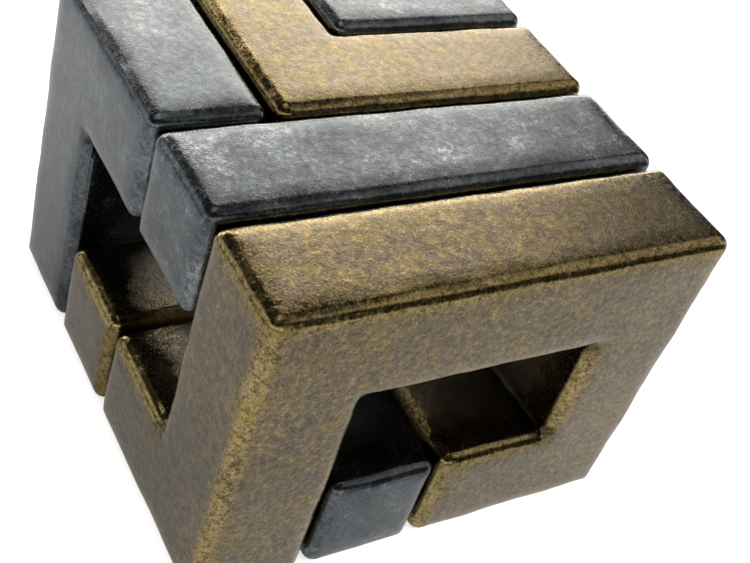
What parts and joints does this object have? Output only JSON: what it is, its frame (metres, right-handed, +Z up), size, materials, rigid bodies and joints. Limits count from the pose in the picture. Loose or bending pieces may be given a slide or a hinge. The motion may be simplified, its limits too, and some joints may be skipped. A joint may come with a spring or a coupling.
{
  "type": "interlocking cast-metal burr puzzle",
  "caption": "Interlocking cast-metal coils that slide together into one pierced block, a pocket brain teaser.",
  "frame": {"origin": "middle of the block's underside", "axes": "+Z up through the block's three layers, +X to the right and +Y to the back when the front window faces the viewer"},
  "size_m": [0.0358, 0.0358, 0.0267],
  "materials": {
    "antique_brass": "antique brass plate over a casting, blackened in the hollows and rubbed bright on the edges",
    "antique_nickel": "dark antique nickel plate over a casting, blue-grey with silvery rubbed faces"
  },
  "bodies": {
    "front_dark_coil": {"front_dark_coil": "antique_nickel"},
    "front_brass_ring": {"front_brass_ring": "antique_brass"},
    "rear_brass_coil": {"rear_brass_coil": "antique_brass"},
    "rear_dark_ring": {"rear_dark_ring": "antique_nickel"}
  },
  "joints": [
    {"name": "front_brass_ring_slide", "type": "slide", "parent": "front_dark_coil", "child": "front_brass_ring", "axis": [0, -1, 0], "range_m": [0, 0.022]},
    {"name": "rear_brass_coil_slide", "type": "slide", "parent": "front_dark_coil", "child": "rear_brass_coil", "axis": [0, 1, 0], "range_m": [0, 0.022]},
    {"name": "rear_dark_ring_slide", "type": "slide", "parent": "rear_brass_coil", "child": "rear_dark_ring", "axis": [0, 1, 0], "range_m": [0, 0.022]}
  ]
}
